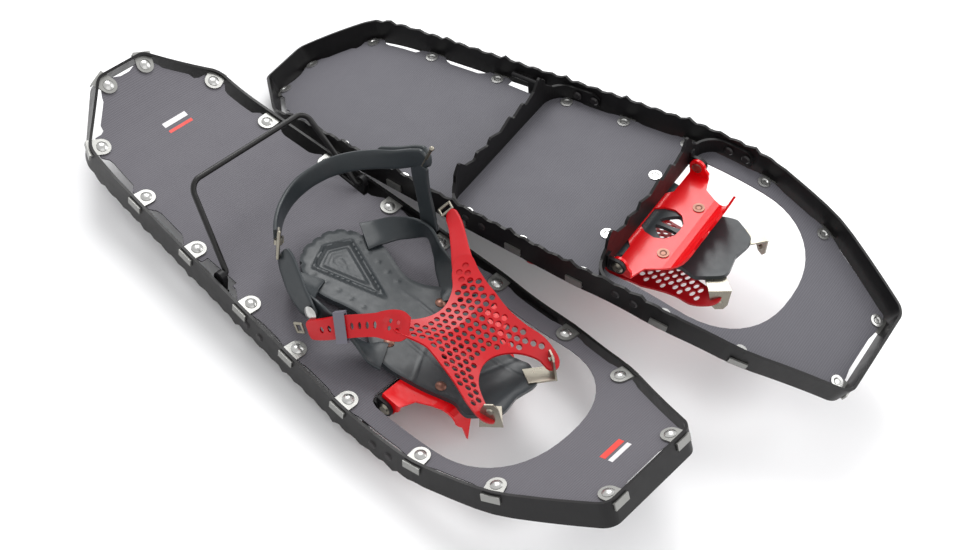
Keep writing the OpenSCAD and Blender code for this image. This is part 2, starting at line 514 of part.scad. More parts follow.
// Strap round the heel: from the far pin, behind the heel, to the near buckle
function heel_rows(k) = [[press([-19, 72.5, 98], k), [2, 0, 8 * k]], [press([-43, 68, 80], k), [-2, 0, 8.5 * k]],
    [press([-62, 62, 68], k), [-3, 0, 8.5 * k]], [press([-78, 54, 58], k), [-2, 0, 8.5 * k]],
    [press([-91, 40, 49], k), [-1, 0, 8.5 * k]], [press([-97, 20, 42], k), [0, 0, 8.5 * k]],
    [press([-96, 0, 37], k), [0, 0, 8.5 * k]], [press([-88, -18, 36], k), [-1, 0, 8.5 * k]],
    [press([-76, -33, 38], k), [-2, 0, 8.5 * k]], [press([-65.6, -43.7, 43.4], k), [-3, 0, 8 * k]]];
module heel_strap(k) color([0.27, 0.31, 0.32]) strap(heel_rows(k));

// The net over the forefoot: an X in plan, bent over the instep
NET_HALF = [[60, 34], [66, 42], [82, 34], [100, 30], [118, 31], [140, 36], [157, 42], [162, 36], [146, 26], [132, 14], [128, 0]];
NET_REAR = [[68, 0], [66, 14], [60, 27]];
NET_TOP = 52;
// Height of the net at the side distance y
function net_z(y) = NET_TOP - 14 * pow(y / 42, 2);
NET_Y = [for (i = [-8:8]) i * 46 / 8];
module forefoot_net() color([0.78, 0.06, 0.12]) intersection() {
    translate([0, 0, 10]) linear_extrude(80) polygon(both_sides(concat(NET_REAR, NET_HALF)));
    translate([103, 0, 0]) rotate([0, 5, 0])
        rotate([90, 0, 90]) linear_extrude(140, center = true) polygon(concat([for (y = NET_Y) [y, net_z(y)]],
            [for (i = [len(NET_Y) - 1:-1:0]) [NET_Y[i], net_z(NET_Y[i]) - 2.6]]));
}
// The two straps that run back from the net
function far_strap_rows() = [[[18, 72, 58], [5, 5, 5]], [[32, 65, 60], [6, 6, 4]], [[46, 54, 57], [7, 7, 3]], [[58, 43, 51], [8, 8, 2]]];
function near_strap_rows() = [[[7, -78, 23], [0, -1, -8]], [[17, -73.5, 28], [1, -2, -8]], [[30, -63.5, 35.5], [3, -5, -8]],
    [[44, -53, 42], [4, -6, -7]], [[58, -43.5, 47], [5, -6, -7]], [[70, -36, 50], [5, -6, -6]]];
module far_strap() color([0.78, 0.06, 0.12]) strap(far_strap_rows(), 2.6);
module near_strap() color([0.78, 0.06, 0.12]) strap(near_strap_rows(), 2.6);

// ---- metal on the straps ----

module side_rivets() color([0.80, 0.79, 0.77]) each_side_rivet() translate([0, 0, STRAP_T + 3.9]) intersection() {
    cylinder(h = DOME, r = 6.5);
    translate([0, 0, DOME - 11]) sphere(r = 11);
}
// A flat ring of wire, w wide and l long, lying in its own xy plane
module wire_ring(l, w, r = 1.5) {
    ring = [[-l / 2, -w / 2, 0], [l / 2, -w / 2, 0], [l / 2, w / 2, 0], [-l / 2, w / 2, 0]];
    for (i = [0:3]) rod(ring[i], ring[(i + 1) % 4], r);
}
module strap_keeper() color([0.38, 0.36, 0.42]) translate([30, -63.5, 35.5]) rotate([0, -22, 37]) rotate([50, 0, 0])
    difference() {
        cube([9, 25.5, 8.5], center = true);
        cube([20, 22, 5.9], center = true);
    }
module strap_hook() color([0.70, 0.69, 0.66]) translate([1, -80.4, 20.6]) rotate([0, -25, 19]) rotate([86, 0, 0])
    wire_ring(6, 9, 1.2);
module strap_loop() color([0.70, 0.69, 0.66]) translate([9.5, 77.5, 55.8]) rotate([0, -12, -30]) rotate([40, 0, 0])
    wire_ring(8, 11, 1.2);
BUCKLE = [-61, -47, 46];
module at_buckle(k) translate(press(BUCKLE, k)) rotate([0, -30 * k, -44]) children();
module heel_buckle(k) color([0.72, 0.71, 0.69]) at_buckle(k) {
    rod([0, 0, -9.5 * k - 1.6], [0, 0, 9.5 * k + 1.6], TONGUE_R);
    rod([0, 0, 9.5 * k + 1.6], [9, 0, 9.5 * k + 1.6], TONGUE_R);
    rod([9, 0, 9.5 * k + 1.6], [9, 0, -9.5 * k - 1.6], TONGUE_R);
    rod([9, 0, -9.5 * k - 1.6], [0, 0, -9.5 * k - 1.6], TONGUE_R);
}
module buckle_tongue(k) color([0.72, 0.71, 0.69]) at_buckle(k) difference() {
    union() {
        cylinder(h = 4, r = TONGUE_R + 2.2, center = true);
        translate([-12, 3.6, 0]) rotate([0, 90, 0]) cylinder(h = 12, r = 1.3);
    }
    cylinder(h = 30, r = TONGUE_R + pin_play, center = true);
}
module heel_strap_pin(k) color([0.72, 0.71, 0.69]) translate(press([-15, 72, 103], k)) rotate([0, 14, 0]) {
    cylinder(h = 22 * k + 4, r = 1.4, center = true, $fn = 24);
    translate([0, 0, 11 * k + 2]) sphere(r = 2.2, $fn = 24);
}

// ---- toe brackets: a base on the footbed's toe and an ear that stands up ----

EAR_A = [163.5, 43];
EAR_B = [179, 33];
TOE_PLATE = [[148, 26.5], [163.5, 43], [179, 33], [163.5, 16.5]];
module toe_frame(a) {
    x = 171;
    translate([0, 0, bed_z + bed_t + curl_rise(x, a) + 0.15]) translate([x, 0, 0])
        rotate([0, -a, 0]) translate([-x, 0, 0]) children();
}
module toe_brackets(a) color([0.55, 0.53, 0.48]) for (side = [1, -1]) mirror([0, side < 0 ? 1 : 0, 0]) toe_frame(a)
    difference() {
        union() {
            linear_extrude(1.5) polygon(TOE_PLATE);
            translate([EAR_A[0], EAR_A[1], 0]) rotate([90, 0, atan2(EAR_B[1] - EAR_A[1], EAR_B[0] - EAR_A[0])])
                translate([0, 0, -0.5]) linear_extrude(1.5) polygon([[-0.4, 0], [18.9, 0], [16.5, 18], [13, 23], [6, 23], [2.5, 18]]);
        }
        at_toe_pin() cylinder(h = 12, r = 1.8 + RIVET_PLAY, center = true, $fn = 24);
    }
module at_toe_pin() translate([EAR_A[0], EAR_A[1], 0])
    rotate([90, 0, atan2(EAR_B[1] - EAR_A[1], EAR_B[0] - EAR_A[0])]) translate([9.4, 16, 0]) children();
module toe_pins(a) color([0.62, 0.60, 0.57]) for (side = [1, -1]) mirror([0, side < 0 ? 1 : 0, 0]) toe_frame(a)
    at_toe_pin() {
        translate([0, 0, -1.9]) cylinder(h = 4.6, r = 1.8, $fn = 24);
        translate([0, 0, -1.9]) cylinder(h = 1.3, r1 = 2.4, r2 = 3.4, $fn = 24);
    }

// ---- the two shoes ----

module shoe_part(name, lifter_angle, curl, k) {
    if (name == "frame_rail") frame_rail();
    if (name == "deck") deck();
    if (name == "deck_clips") deck_clips();
    if (name == "deck_rivets") deck_rivets();
    if (name == "rear_crossbar") rear_crossbar();
    if (name == "front_crossbar") front_crossbar();
    if (name == "crossbar_rivets") crossbar_rivets();
    if (name == "lifter_brackets") lifter_brackets();
    if (name == "heel_lifter") heel_lifter(lifter_angle);
    if (name == "hinge_lugs") hinge_lugs();
    if (name == "hinge_pins") hinge_pins();
    if (name == "crampon") crampon();
    if (name == "crampon_rivets") crampon_rivets();
    if (name == "footbed") footbed(curl);
    if (name == "side_bands") side_bands();
    if (name == "side_uprights") side_uprights(k);
    if (name == "toe_brackets") toe_brackets(curl);
    if (name == "toe_pins") toe_pins(curl);
    if (name == "forefoot_net") forefoot_net();
    if (name == "far_strap") far_strap();
    if (name == "near_strap") near_strap();
    if (name == "strap_keeper") strap_keeper();
    if (name == "side_rivets") side_rivets();
    if (name == "strap_hook") strap_hook();
    if (name == "strap_loop") strap_loop();
    if (name == "heel_strap") heel_strap(k);
    if (name == "heel_buckle") heel_buckle(k);
    if (name == "buckle_tongue") buckle_tongue(k);
    if (name == "heel_strap_pin") heel_strap_pin(k);
}
PRESS_A = 1;
PRESS_B = 0.549;
module shoe_a() translate(ORIGIN_SHIFT + A_PLACE) rotate(A_TURN) children();
module shoe_b() translate(ORIGIN_SHIFT + B_PLACE) rotate(B_TURN) mirror([0, 1, 0]) children();

for (name = SHOE_NODES) {
    shoe_a() shoe_part(name, lifter_a, curl_a, PRESS_A);
    shoe_b() shoe_part(name, lifter_b, curl_b, PRESS_B);
}
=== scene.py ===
# %% [markdown]
# # A pair of mountain snowshoes
# One shoe lies deck up and the other lies sole up beside it. The metal frames,
# crossbars, clips, rivets and crampons come from the engineering model and keep
# their shapes. What is moulded or woven on the real object, such as the net over
# the foot, the straps and the footbed, is made here as surfaces worked out with
# numpy, and every surface gets a finish.

# %% Load the engineering model
import json

import bmesh
import bpy
import numpy as np
from mathutils import Matrix, Vector
from mathutils.geometry import delaunay_2d_cdt


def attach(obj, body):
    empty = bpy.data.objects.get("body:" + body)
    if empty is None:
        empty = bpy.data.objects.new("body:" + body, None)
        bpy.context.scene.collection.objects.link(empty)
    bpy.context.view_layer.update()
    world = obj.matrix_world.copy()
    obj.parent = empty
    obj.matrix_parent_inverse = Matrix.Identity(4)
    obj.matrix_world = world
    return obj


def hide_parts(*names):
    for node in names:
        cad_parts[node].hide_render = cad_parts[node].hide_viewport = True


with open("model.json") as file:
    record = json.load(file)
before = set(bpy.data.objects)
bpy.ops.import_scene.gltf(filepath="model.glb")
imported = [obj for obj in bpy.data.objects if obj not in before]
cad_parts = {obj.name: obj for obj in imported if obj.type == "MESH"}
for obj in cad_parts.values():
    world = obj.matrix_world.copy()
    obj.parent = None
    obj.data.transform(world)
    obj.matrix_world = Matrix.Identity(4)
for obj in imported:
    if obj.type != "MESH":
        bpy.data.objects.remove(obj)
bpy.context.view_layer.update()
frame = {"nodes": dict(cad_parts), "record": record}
nodes = frame["nodes"]

# %% [markdown]
# ## Camera
# The camera stands high in front of the toes and looks down across both shoes.
# Its three directions are written as unit vectors, which is easier to check than
# three angles: right and down lie in the picture, and forward goes into it.

# %% Camera
camera_place = Vector((0.5430, -0.7775, 1.0699))
camera_right = Vector((0.7416, 0.6592, 0.1244)).normalized()
camera_down = Vector((0.5628, -0.5104, -0.6502)).normalized()
camera_forward = camera_right.cross(camera_down)
lens = bpy.data.cameras.new("camera")
lens.sensor_width, lens.lens = 36.0, 59.0
lens.clip_start, lens.clip_end = 0.05, 20
camera = bpy.data.objects.new("camera", lens)
turned = Matrix((camera_right, -camera_down, -camera_forward)).transposed()
camera.matrix_world = Matrix.Translation(camera_place) @ turned.to_4x4()
bpy.context.scene.collection.objects.link(camera)
bpy.context.scene.camera = camera

# %% [markdown]
# ## Floor and light
# A plain pale floor runs far past the picture. Three large soft lamps and a pale
# sky give the even light of a studio, with one lamp brighter so that edges of
# metal and rubber catch it.

# %% Floor and light
def soft_lamp(name, place, target, size, watts):
    """A square area lamp at place that faces target."""
    data = bpy.data.lights.new(name, "AREA")
    data.size, data.energy = size, watts
    lamp = bpy.data.objects.new(name, data)
    lamp.location = place
    lamp.rotation_euler = (Vector(target) - Vector(place)).to_track_quat("-Z", "Y").to_euler()
    bpy.context.scene.collection.objects.link(lamp)
    return lamp


soft_lamp("key_lamp", (-1.2, 0.9, 1.9), (0, 0, 0), 1.3, 36)
soft_lamp("fill_lamp", (1.6, -0.6, 1.6), (0, 0, 0), 2.0, 9)
soft_lamp("rim_lamp", (0.9, 1.9, 1.2), (0, 0.1, 0), 1.4, 18)

sky = bpy.data.worlds.new("studio")
sky.use_nodes = True
sky.node_tree.nodes["Background"].inputs["Color"].default_value = (1, 1, 1, 1)
sky.node_tree.nodes["Background"].inputs["Strength"].default_value = 0.92
bpy.context.scene.world = sky
bpy.context.scene.view_settings.view_transform = "Standard"

floor_mesh = bpy.data.meshes.new("floor")
half_floor = 6.0
floor_mesh.from_pydata(
    [(-half_floor, -half_floor, 0), (half_floor, -half_floor, 0),
     (half_floor, half_floor, 0), (-half_floor, half_floor, 0)],
    [], [(0, 1, 2, 3)])
floor = bpy.data.objects.new("floor", floor_mesh)
floor.location.z = -0.0006
bpy.context.scene.collection.objects.link(floor)

# %% [markdown]
# ## Finishes
# Every finish is one Principled shader with three patterns on Object coordinates:
# a slow cloud that shifts the colour a little, a finer cloud that shifts the
# gloss, and a grain that makes small bumps. What changes from one finish to the
# next is the size and the strength of each.

# %% Colours and the finish builder
def linear(red, green, blue):
    """Screen colour, 0 to 255, as the linear light that a shader wants."""
    value = np.array([red, green, blue], float) / 255
    light = np.where(value <= 0.04045, value / 12.92, ((value + 0.055) / 1.055) ** 2.4)
    return (*light.tolist(), 1.0)


def finish(name, colour, rough, metallic=0.0, grain=900.0, bump=0.08, depth=0.0002,
           cloud=18.0, shift=0.12, gloss_shift=0.10, coat=0.0, specular=0.5, sheen=0.0):
    """A procedural finish. Returns the material, its node tree's parts by name."""
    material = bpy.data.materials.new(name)
    material.use_nodes = True
    tree = material.node_tree
    shader = tree.nodes["Principled BSDF"]
    shader.inputs["Metallic"].default_value = metallic
    shader.inputs["Coat Weight"].default_value = coat
    shader.inputs["Coat Roughness"].default_value = 0.15
    shader.inputs["Specular IOR Level"].default_value = specular
    shader.inputs["Sheen Weight"].default_value = sheen
    where = tree.nodes.new("ShaderNodeTexCoord")
    slow = tree.nodes.new("ShaderNodeTexNoise")
    slow.inputs["Scale"].default_value, slow.inputs["Detail"].default_value = cloud, 4
    tree.links.new(where.outputs["Object"], slow.inputs["Vector"])
    tone = tree.nodes.new("ShaderNodeMix")
    tone.data_type = "RGBA"
    base = np.array(colour)
    tone.inputs["A"].default_value = (*(base[:3] * (1 - shift)).tolist(), 1)
    tone.inputs["B"].default_value = (*(base[:3] * (1 + shift)).clip(0, 1).tolist(), 1)
    tree.links.new(slow.outputs["Fac"], tone.inputs["Factor"])
    tree.links.new(tone.outputs["Result"], shader.inputs["Base Color"])
    middle = tree.nodes.new("ShaderNodeTexNoise")
    middle.inputs["Scale"].default_value, middle.inputs["Detail"].default_value = cloud * 6, 3
    tree.links.new(where.outputs["Object"], middle.inputs["Vector"])
    spread = tree.nodes.new("ShaderNodeMapRange")
    spread.inputs["To Min"].default_value = max(0.03, rough - gloss_shift)
    spread.inputs["To Max"].default_value = min(1, rough + gloss_shift)
    tree.links.new(middle.outputs["Fac"], spread.inputs["Value"])
    tree.links.new(spread.outputs["Result"], shader.inputs["Roughness"])
    fine = tree.nodes.new("ShaderNodeTexNoise")
    fine.inputs["Scale"].default_value, fine.inputs["Detail"].default_value = grain, 2
    tree.links.new(where.outputs["Object"], fine.inputs["Vector"])
    relief = tree.nodes.new("ShaderNodeBump")
    relief.inputs["Strength"].default_value, relief.inputs["Distance"].default_value = bump, depth
    tree.links.new(fine.outputs["Fac"], relief.inputs["Height"])
    tree.links.new(relief.outputs["Normal"], shader.inputs["Normal"])
    return material, {"where": where, "tone": tone, "relief": relief, "shader": shader, "fine": fine, "slow": slow}


# %% [markdown]
# The deck's coated cloth shows fine ribs from side to side. A wave pattern that runs across the shoe draws them: it
# bumps each rib, darkens its groove as painted shade and lightens its crest as a painted highlight.
# The pattern is turned with the shoe, because the second shoe lies at an angle.

# %% Deck cloth
RIB_SCALE = 165.0


def deck_cloth(name, colour, turn_z):
    """Coated cloth: ribs and a finer crosswise thread, both wave patterns, which also paint shade into the grooves
    and a highlight onto the crests.
    """
    material, part = finish(name, colour, 0.62, grain=1400, bump=0.10, cloud=7, shift=0.05, sheen=0.05, specular=0.25)
    tree = material.node_tree
    turned_on = tree.nodes.new("ShaderNodeMapping")
    turned_on.inputs["Rotation"].default_value = (0, 0, turn_z)
    tree.links.new(part["where"].outputs["Object"], turned_on.inputs["Vector"])
    waves = []
    for direction, scale in (("X", RIB_SCALE), ("Y", RIB_SCALE * 1.3)):
        wave = tree.nodes.new("ShaderNodeTexWave")
        wave.bands_direction = direction
        wave.inputs["Scale"].default_value = scale
        wave.inputs["Distortion"].default_value = 0.6
        wave.inputs["Detail Scale"].default_value = 2.0
        tree.links.new(turned_on.outputs["Vector"], wave.inputs["Vector"])
        waves.append(wave)
    weave = tree.nodes.new("ShaderNodeMath")
    weave.operation = "MULTIPLY_ADD"
    weave.inputs[1].default_value = 0.35
    tree.links.new(waves[1].outputs["Fac"], weave.inputs[0])
    tree.links.new(waves[0].outputs["Fac"], weave.inputs[2])
    ribs = tree.nodes.new("ShaderNodeBump")
    ribs.inputs["Strength"].default_value, ribs.inputs["Distance"].default_value = 0.35, 0.0003
    tree.links.new(weave.outputs["Value"], ribs.inputs["Height"])
    tree.links.new(part["relief"].outputs["Normal"], ribs.inputs["Normal"])
    tree.links.new(ribs.outputs["Normal"], part["shader"].inputs["Normal"])
    # painted shade and highlight: the rib pattern darkens the colour in each groove and lightens it on each crest
    rib_shade_and_highlight = tree.nodes.new("ShaderNodeMapRange")
    rib_shade_and_highlight.inputs["From Max"].default_value = 1.35
    rib_shade_and_highlight.inputs["To Min"].default_value, rib_shade_and_highlight.inputs["To Max"].default_value = 0.80, 1.12
    tree.links.new(weave.outputs["Value"], rib_shade_and_highlight.inputs["Value"])
    shade = tree.nodes.new("ShaderNodeVectorMath")
    shade.operation = "SCALE"
    tree.links.new(part["tone"].outputs["Result"], shade.inputs[0])
    tree.links.new(rib_shade_and_highlight.outputs["Result"], shade.inputs["Scale"])
    tree.links.new(shade.outputs["Vector"], part["shader"].inputs["Base Color"])
    return material


deck_finish = {
    "a": deck_cloth("deck_cloth_up", linear(96, 94, 100), 0.0),
    "b": deck_cloth("deck_cloth_down", linear(94, 93, 99), np.radians(-7.6)),
}

# %% [markdown]
# Metal, paint, rubber and moulded plastic. The frame's black is anodised, so it
# is a dark satin metal; the crossbars and wire are powder coated, so they are
# rougher and not metallic; the crampon's red paint is glossy under a clear coat.

# %% Metal, paint, rubber and plastic
finishes = {
    "frame_black": finish("anodised_black", linear(13, 12, 13), 0.40,
        grain=1200, bump=0.05, shift=0.2, specular=0.28)[0],
    "clip_metal": finish("clip_metal", linear(146, 146, 143), 0.38,
        metallic=0.85, grain=700, bump=0.06, shift=0.05)[0],
    "rivet_metal": finish("rivet_metal", linear(186, 186, 184), 0.27,
        metallic=0.9, grain=500, bump=0.04, shift=0.05)[0],
    "crossbar_black": finish("crossbar_black", linear(15, 14, 15), 0.46,
        grain=1600, bump=0.14, shift=0.2, specular=0.25)[0],
    "dark_fasteners": finish("dark_fasteners", linear(40, 38, 39), 0.40, metallic=0.5, shift=0.15)[0],
    "moulded_black": finish("moulded_black", linear(17, 16, 18), 0.46, grain=900, bump=0.10, specular=0.3)[0],
    "wire_black": finish("wire_black", linear(16, 15, 15), 0.36, grain=1500, bump=0.08, specular=0.35)[0],
    "stainless": finish("stainless", linear(150, 145, 133), 0.30, metallic=0.95, grain=600, bump=0.07, shift=0.08)[0],
    "crampon_red": finish("crampon_red", linear(226, 2, 14), 0.32,
        grain=500, bump=0.03, shift=0.05, coat=0.35, specular=0.3)[0],
    "bronze_rivets": finish("bronze_rivets", linear(128, 92, 80), 0.36, metallic=0.8, shift=0.15)[0],
    "binding_grey": finish("binding_grey", linear(42, 47, 50), 0.36,
        grain=420, bump=0.10, cloud=30, shift=0.14, specular=0.38)[0],
    "net_red": finish("net_red", linear(180, 4, 18), 0.34,
        grain=600, bump=0.06, cloud=24, shift=0.08, specular=0.4)[0],
    "keeper_grey": finish("keeper_grey", linear(98, 96, 106), 0.45, grain=700, bump=0.08)[0],
}
floor_finish, _ = finish("pale_floor", linear(244, 244, 245), 0.85, grain=40, bump=0.0,
                         cloud=2, shift=0.004, gloss_shift=0.02, specular=0.1)
floor_mesh.materials.append(floor_finish)

slot_of = {entry["node"]: entry["material_slot"] for entry in frame["record"]["subparts"]}
for name, node in nodes.items():
    material = deck_finish[name[0]] if slot_of[name] == "deck_fabric" else finishes[slot_of[name]]
    if not node.material_slots:
        node.data.materials.append(material)
    for slot in node.material_slots:
        slot.material = material
print("painted", len(nodes), "nodes with", len(finishes) + 2, "finishes")

# each deck is one stretched sheet
for shoe in "ab":
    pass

# %% [markdown]
# ## Where each shoe lies
# Every moulded piece is drawn once, in millimetres in its own shoe's frame, with
# x from tail to toe, y to the side and z up from the deck. It is then turned and
# moved to its place. The second shoe is the mirror image of the first, turned
# over, so one drawing makes a left and a right.

# %% Placing
def turning(x, y, z):
    """Rotation about x, then y, then z, in degrees, as a 3 by 3 array."""
    (cx, cy, cz), (sx, sy, sz) = np.cos(np.radians([x, y, z])), np.sin(np.radians([x, y, z]))
    about_x = np.array([[1, 0, 0], [0, cx, -sx], [0, sx, cx]])
    about_y = np.array([[cy, 0, sy], [0, 1, 0], [-sy, 0, cy]])
    about_z = np.array([[cz, -sz, 0], [sz, cz, 0], [0, 0, 1]])
    return about_z @ about_y @ about_x


PLACES = {
    "a": (np.array([-17.4, -108.8, 39.0]), turning(0, 2.32, 0)),
    "b": (np.array([32.0, 91.0, 76.7]), turning(-175.16, -8.55, 7.6) @ np.diag([1, -1, 1])),
}
MM = 0.001
RIVET_Z = 34.0
PRESSED = {"a": 1.0, "b": 0.549}


def lay(points, shoe):
    """Points of one shoe, in millimetres, as metres in the pair's frame."""
    origin, turn = PLACES[shoe]
    return (np.asarray(points, float) @ turn.T + origin) * MM


def press(points, shoe):
    """What stands above the side rivets is flattened where the shoe lies on it."""
    points = np.array(points, float)
    above = np.maximum(points[..., 2] - RIVET_Z, 0)
    points[..., 2] -= above * (1 - PRESSED[shoe])
    return points


def piece(name, shoe, points, faces, material, body, stands_for=(), sharp=38):
    """A closed mesh from points and faces, placed, turned outwards and riding on its body."""
    mesh = bpy.data.meshes.new(f"{shoe}_{name}")
    mesh.from_pydata(lay(points, shoe).tolist(), [], [tuple(f) for f in faces])
    work = bmesh.new()
    work.from_mesh(mesh)
    bmesh.ops.remove_doubles(work, verts=work.verts, dist=2e-6)
    bmesh.ops.recalc_face_normals(work, faces=work.faces)
    work.to_mesh(mesh)
    work.free()
    mesh.polygons.foreach_set("use_smooth", np.ones(len(mesh.polygons), bool))
    mesh.set_sharp_from_angle(angle=np.radians(sharp))
    mesh.materials.append(material)
    made = bpy.data.objects.new(mesh.name, mesh)
    bpy.context.scene.collection.objects.link(made)
    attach(made, f"{shoe}_{body}")
    if stands_for:
        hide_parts(*[f"{shoe}_{node}" for node in stands_for])
    return made


# %% [markdown]
# ## Lines and bands
# A strap is a band: a middle line through space, with a width direction at each
# point. The line is a spline through a few points. A closed profile is carried
# along it: its first number goes along the width, its second along the thickness.

# %% Lines and bands
def spline(points, count):
    """Catmull-Rom curve through points, as count points, and each keeps all its numbers."""
    p = np.asarray(points, float)
    p = np.vstack([2 * p[0] - p[1], p, 2 * p[-1] - p[-2]])
    t = np.linspace(0, len(p) - 3 - 1e-9, count)
    i = t.astype(int)
    u = (t - i)[:, None]
    a, b, c, d = p[i], p[i + 1], p[i + 2], p[i + 3]
    return 0.5 * (2 * b + (c - a) * u + (2 * a - 5 * b + 4 * c - d) * u**2 + (3 * b - a - 3 * c + d) * u**3)


def closed_spline(points, count):
    """The same curve through points and back to the first."""
    p = np.asarray(points, float)
    n = len(p)
    t = np.linspace(0, n, count, endpoint=False)
    i = t.astype(int)
    u = (t - i)[:, None]
    a, b, c, d = p[(i - 1) % n], p[i % n], p[(i + 1) % n], p[(i + 2) % n]
    return 0.5 * (2 * b + (c - a) * u + (2 * a - 5 * b + 4 * c - d) * u**2 + (3 * b - a - 3 * c + d) * u**3)


def unit(v):
    return v / np.linalg.norm(v, axis=-1, keepdims=True)


def frames_along(middle, width):
    """Width and thickness directions at each point of a band's middle line."""
    along = unit(np.gradient(middle, axis=0))
    across = unit(width - (width * along).sum(1, keepdims=True) * along)
    return across, np.cross(along, across)


def soft_bar(power=5.0, count=28, ridge=0.0):
    """Rounded oblong profile from -1 to 1 both ways; ridge lifts its middle on the upper side."""
    q = np.linspace(0, 2 * np.pi, count, endpoint=False)
    u = np.sign(np.cos(q)) * np.abs(np.cos(q)) ** (2 / power)
    v = np.sign(np.sin(q)) * np.abs(np.sin(q)) ** (2 / power)
    return np.stack([u, v + ridge * np.exp(-(u / 0.35) ** 2) * (v > 0)], 1)


def band(rows, half_width, thickness, profile, count=60, round_ends=(0.0, 0.0)):
    """A profile carried along a spline. rows are [x, y, z, width direction's x, y, z].
    half_width is one number or one per row, and round_ends are the lengths over
    which each end narrows to a half circle."""
    dense = spline(rows, count)
    middle, width = dense[:, :3], dense[:, 3:]
    across, out = frames_along(middle, width)
    half = np.interp(np.linspace(0, 1, count), np.linspace(0, 1, np.size(half_width)), half_width) \
        if np.ndim(half_width) else np.full(count, float(half_width))
    run = np.r_[0, np.cumsum(np.linalg.norm(np.diff(middle, axis=0), axis=1))]
    for end, far in zip(round_ends, (run, run[-1] - run)):
        if end:
            half = half * np.sqrt(np.clip(1 - (1 - np.minimum(far, end) / end) ** 2, 0.01, 1))
    u, v = profile[:, 0], profile[:, 1]
    points = (middle[:, None] + across[:, None] * (half[:, None] * u)[..., None]
              + out[:, None] * (thickness / 2 * v)[None, :, None])
    return skin(points)


def skin(grid):
    """Points and faces of a tube from a grid of rings, with a flat cap at each end."""
    rings, around = grid.shape[:2]
    i, j = np.meshgrid(np.arange(rings - 1), np.arange(around), indexing="ij")
    k = (j + 1) % around
    quads = np.stack([i * around + j, i * around + k, (i + 1) * around + k, (i + 1) * around + j], -1)
    faces = quads.reshape(-1, 4).tolist()
    faces += [list(range(around))[::-1], [(rings - 1) * around + q for q in range(around)]]
    return grid.reshape(-1, 3), faces


def join(*parts):
    """Several (points, faces) as one."""
    points, faces, start = [], [], 0
    for p, f in parts:
        points.append(p)
        faces += [[q + start for q in face] for face in f]
        start += len(p)
    return np.vstack(points), faces


# %% [markdown]
# ## Sheets with holes
# The net and the slotted strap are flat shapes with many holes that are then bent.
# The flat shape is cut first: its outline, the holes' edges and a spread of inner
# points are joined into triangles, and the triangles that fall in a hole are
# dropped. Then a formula lifts the flat points into space, once for each side.

# %% Cutting and lifting a sheet
def crossings(points, loops):
    """Whether each point lies inside the loops, by counting the edges to its right; a hole is outside."""
    start = np.vstack(loops)
    end = np.vstack([np.roll(loop, -1, axis=0) for loop in loops])
    x, y = points[:, :1], points[:, 1:]
    spans = (start[:, 1] > y) != (end[:, 1] > y)
    rise = np.where(end[:, 1] == start[:, 1], 1e-12, end[:, 1] - start[:, 1])
    meets = start[:, 0] + (y - start[:, 1]) * (end[:, 0] - start[:, 0]) / rise
    return (spans & (x < meets)).sum(1) % 2 == 1


def edge_distance(points, loop):
    """Distance of each point to the nearest point of a loop's edges."""
    a, b = loop, np.roll(loop, -1, axis=0)
    d = b - a
    t = (((points[:, None] - a) * d).sum(-1) / (d * d).sum(-1)).clip(0, 1)
    return np.linalg.norm(points[:, None] - (a + t[..., None] * d), axis=-1).min(1)


def cut_sheet(outline, holes, spacing):
    """Flat points and triangles of an outline with holes, and inner points at spacing."""
    loops = [np.asarray(outline, float)] + [np.asarray(h, float) for h in holes]
    low, high = loops[0].min(0), loops[0].max(0)
    gx, gy = np.meshgrid(np.arange(low[0], high[0], spacing), np.arange(low[1], high[1], spacing * 0.87))
    gx = gx + (np.arange(len(gy)) % 2)[:, None] * spacing / 2
    inner = np.stack([gx.ravel(), gy.ravel()], 1)
    inner = inner[crossings(inner, loops)]
    rims = np.vstack(loops)
    inner = inner[np.linalg.norm(inner[:, None] - rims, axis=2).min(1, initial=spacing) > spacing * 0.45]
    flat = np.vstack([rims, inner])
    edges, start = [], 0
    for loop in loops:
        ids = np.arange(len(loop)) + start
        edges += np.stack([ids, np.roll(ids, -1)], 1).tolist()
        start += len(loop)
    made = delaunay_2d_cdt([Vector(q) for q in flat.tolist()], edges, [], 0, 1e-5)
    flat, triangles = np.array([tuple(v) for v in made[0]]), np.array([t for t in made[2] if len(t) == 3])
    triangles = triangles[crossings(flat[triangles].mean(1), loops)]
    return flat, triangles


def thicken(flat, triangles, upper, lower):
    """A closed solid between two lifted copies of a flat sheet, with a wall along every edge of it."""
    count = len(flat)
    sides = np.vstack([triangles[:, [0, 1]], triangles[:, [1, 2]], triangles[:, [2, 0]]])
    key = sides[:, 0] * count + sides[:, 1]
    back = sides[:, 1] * count + sides[:, 0]
    rim = sides[~np.isin(key, back)]
    walls = np.stack([rim[:, 1], rim[:, 0], rim[:, 0] + count, rim[:, 1] + count], 1)
    faces = triangles.tolist() + (triangles[:, ::-1] + count).tolist() + walls.tolist()
    used = np.zeros(2 * count, bool)
    used[triangles.ravel()] = used[triangles.ravel() + count] = True
    new = np.cumsum(used) - 1
    points = np.vstack([upper(flat), lower(flat)])[used]
    return points, [[int(new[q]) for q in face] for face in faces]


def ngon(centre, radius, sides=12, stretch=(1, 1), turn=0.0):
    """A regular loop of points round centre, stretched along its two directions."""
    q = np.linspace(0, 2 * np.pi, sides, endpoint=False) + turn
    return np.stack([centre[0] + radius * stretch[0] * np.cos(q), centre[1] + radius * stretch[1] * np.sin(q)], 1)


# %% [markdown]
# ## The net
# The red net that holds the forefoot is one moulding: an X of soft plastic with
# rows of six-sided holes. Its arms run forward to the two toe brackets and back to
# the straps. It is cut flat as an X with holes on a staggered grid, and a hole is
# kept only where enough rim is left round it. Its height comes from a curve along
# the foot plus a rise towards the sides, where the arms are pulled up.

# %% Net
NET_T = 2.2
NET_PITCH = 6.9
